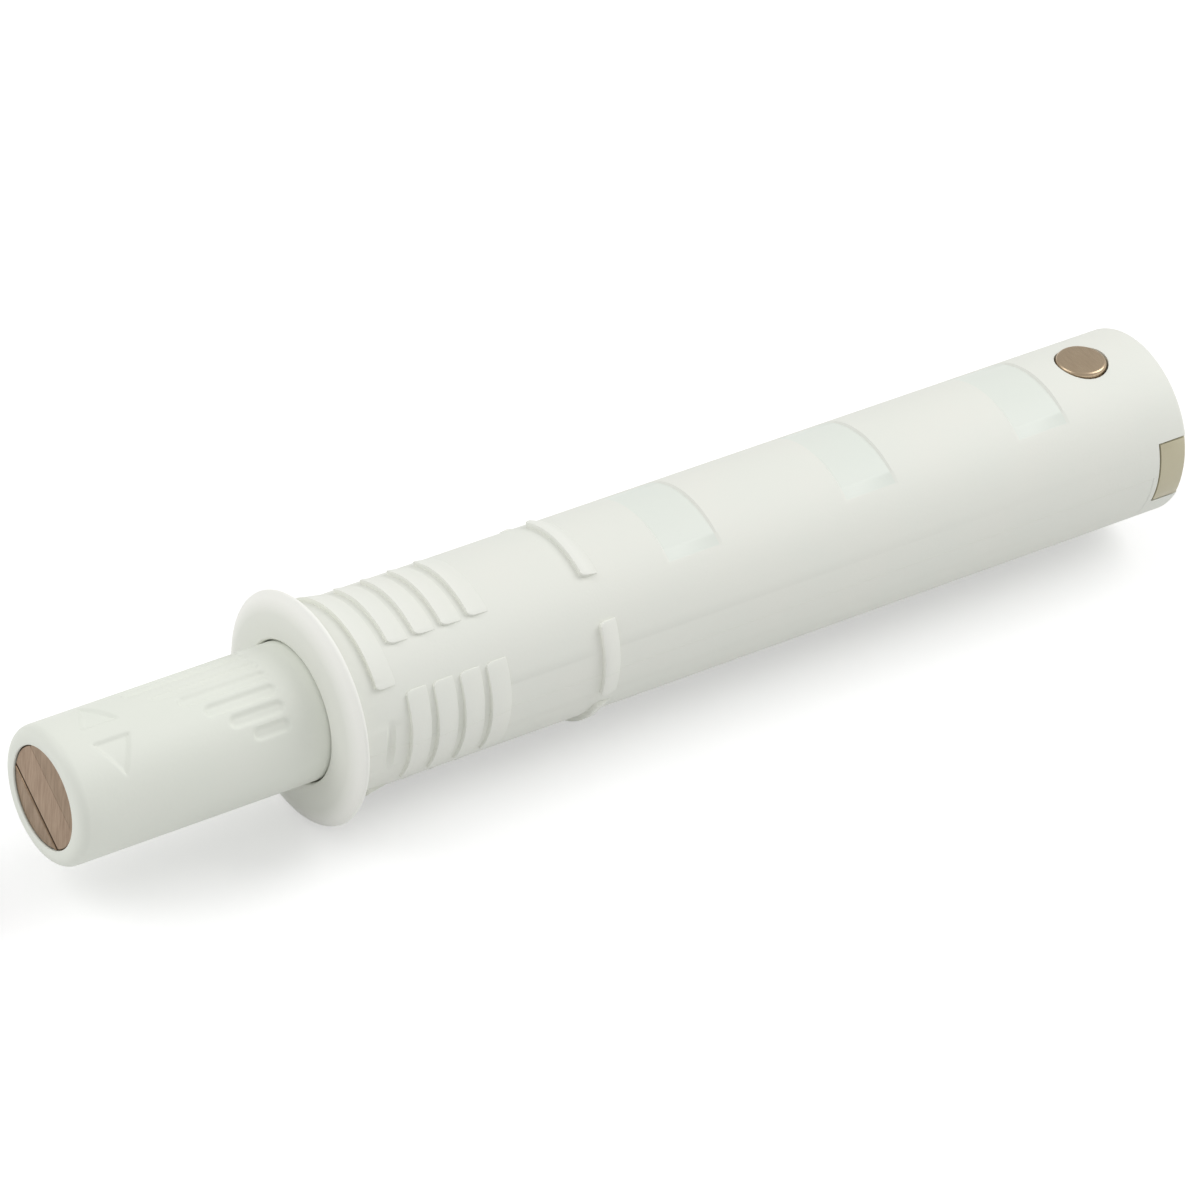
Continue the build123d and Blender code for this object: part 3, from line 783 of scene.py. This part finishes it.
stack = Vector((0, sin(radians(stack_tilt)), -cos(radians(stack_tilt))))
flat_side = 1.2  # points nearer to the axis than this, along the stack, are on the flat side

def move_flat(distance):
    """Moves a pole plate's flat side along the stack, away from the magnet if positive."""
    def shift(point):
        along = point.dot(stack) / mm
        return stack * (distance if along > 0 else -distance) * (abs(along) < flat_side)
    return shift

soften("rear_plug_soft", "rear_plug", "plug_plastic", beige_acetal, 0.22)
soften("lower_pole_plate", "pole_plate_front", "pole_steel", pole_nickel, 0.1, move_flat(0.15))
soften("upper_pole_plate", "pole_plate_back", "pole_steel", pole_nickel, 0.02, move_flat(-0.05))
dress("magnet_block", magnet_nickel)
dress("magnet_carrier", natural_acetal)
dress("carriage", natural_acetal)
dress("latch_lever", spring_wire)

# %% [markdown]
# ## Light and floor
#
# White plastic needs soft light from all round, or its edges burn out. The world gives a
# plain even light. Two wide lamps stand high above the catch: the rear one makes the top of
# the tube brighter than its sides and leaves the square faces of the barbs in shade, and the
# weaker front one lights the flange. The floor is pale. What the camera sees of it is lifted
# to white, and the soft shadow under the catch stays.

# %% World and lamps
room_light = 0.59
world = bpy.data.worlds.new("soft white room")
bpy.context.scene.world = world
world.use_nodes = True
world.node_tree.nodes["Background"].inputs["Color"].default_value = (1, 1, 1, 1)
world.node_tree.nodes["Background"].inputs["Strength"].default_value = room_light

def add_lamp(name, place, size, watts):
    """A round lamp that points at the origin."""
    lamp = bpy.data.lights.new(name, "AREA")
    lamp.shape, lamp.size, lamp.energy = "DISK", size, watts
    holder = bpy.data.objects.new(name, lamp)
    holder.location = place
    holder.rotation_euler = (-Vector(place)).to_track_quat("-Z", "Y").to_euler()
    bpy.context.collection.objects.link(holder)
    print(f"{name}: {watts} W")

add_lamp("rear lamp", (0.36, -0.08, 0.34), 0.36, 0.98)
add_lamp("front lamp", (-0.32, 0.15, 0.35), 0.36, 0.7)

# %% Floor
floor_glow = 0.35
floor_paint, output = start_material("floor, pale matt paint")
diffuse = add(floor_paint, "BsdfDiffuse", Color=linear("#e4e4e4"))
seen = add(floor_paint, "LightPath")
sharp_ray = add(floor_paint, "Math", {"operation": "MAXIMUM"}, i0=seen.outputs["Is Camera Ray"],
                i1=seen.outputs["Is Glossy Ray"])
any_sharp = add(floor_paint, "Math", {"operation": "MAXIMUM"}, i0=sharp_ray.outputs[0],
                i1=seen.outputs["Is Transmission Ray"])
lift = add(floor_paint, "Math", {"operation": "MULTIPLY"}, i0=any_sharp.outputs[0],
           i1=floor_glow)
glow = add(floor_paint, "Emission", Strength=lift.outputs[0])
both = add(floor_paint, "AddShader", i0=diffuse.outputs[0], i1=glow.outputs[0])
floor_paint.node_tree.links.new(both.outputs[0], output.inputs["Surface"])

ground = bmesh.new()
bmesh.ops.create_grid(ground, x_segments=1, y_segments=1, size=1.5)
bmesh.ops.translate(ground, verts=ground.verts, vec=(0, 0, -flange_r * mm))
floor_mesh = bpy.data.meshes.new("floor")
ground.to_mesh(floor_mesh)
ground.free()
floor_mesh.materials.append(floor_paint)
floor = bpy.data.objects.new("floor", floor_mesh)
bpy.context.collection.objects.link(floor)
